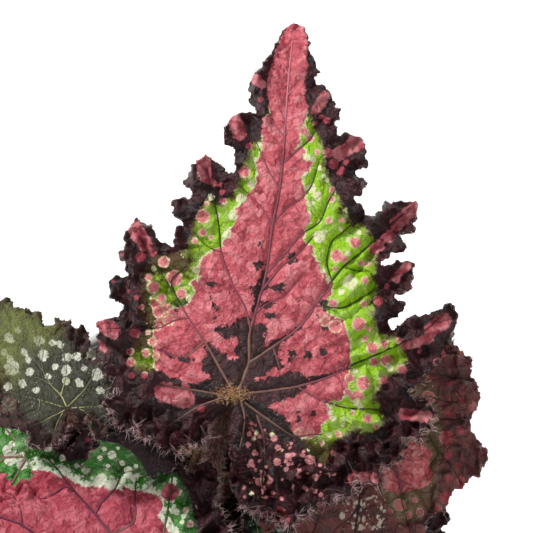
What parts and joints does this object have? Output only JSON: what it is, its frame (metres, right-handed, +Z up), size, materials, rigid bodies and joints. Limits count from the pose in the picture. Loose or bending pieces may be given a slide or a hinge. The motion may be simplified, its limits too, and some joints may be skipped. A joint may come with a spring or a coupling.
{
  "type": "potted rex begonia",
  "caption": "Rex begonia with large lobed, waved leaves in pink, lime green and near black on hairy stalks, growing from soil in a plain round white pot.",
  "frame": {"origin": "middle of the pot's flat base, on the surface that it stands on", "axes": "+Z up along the pot's middle axis; the largest leaf reaches towards +Y and +X is to its right"},
  "size_m": [0.2896, 0.3314, 0.2074],
  "materials": {
    "pot_plastic": "satin",
    "potting_soil": "matte",
    "stalk": "matte",
    "leaf_blade": "satin"
  },
  "bodies": {
    "root": {"pot": "pot_plastic", "soil": "potting_soil", "crown_and_stalks": "stalk", "leaf_large_back": "leaf_blade", "leaf_back_left": "leaf_blade", "leaf_left": "leaf_blade", "leaf_right": "leaf_blade", "leaf_front_right": "leaf_blade", "leaf_inner_right": "leaf_blade", "leaf_front": "leaf_blade", "leaf_mid_back": "leaf_blade", "leaf_low_front_left": "leaf_blade", "leaf_low_left": "leaf_blade", "leaf_low_back_left": "leaf_blade", "leaf_low_back": "leaf_blade", "leaf_low_back_right": "leaf_blade", "leaf_low_right": "leaf_blade", "leaf_young_centre": "leaf_blade", "leaf_young_front": "leaf_blade"}
  },
  "joints": []
}
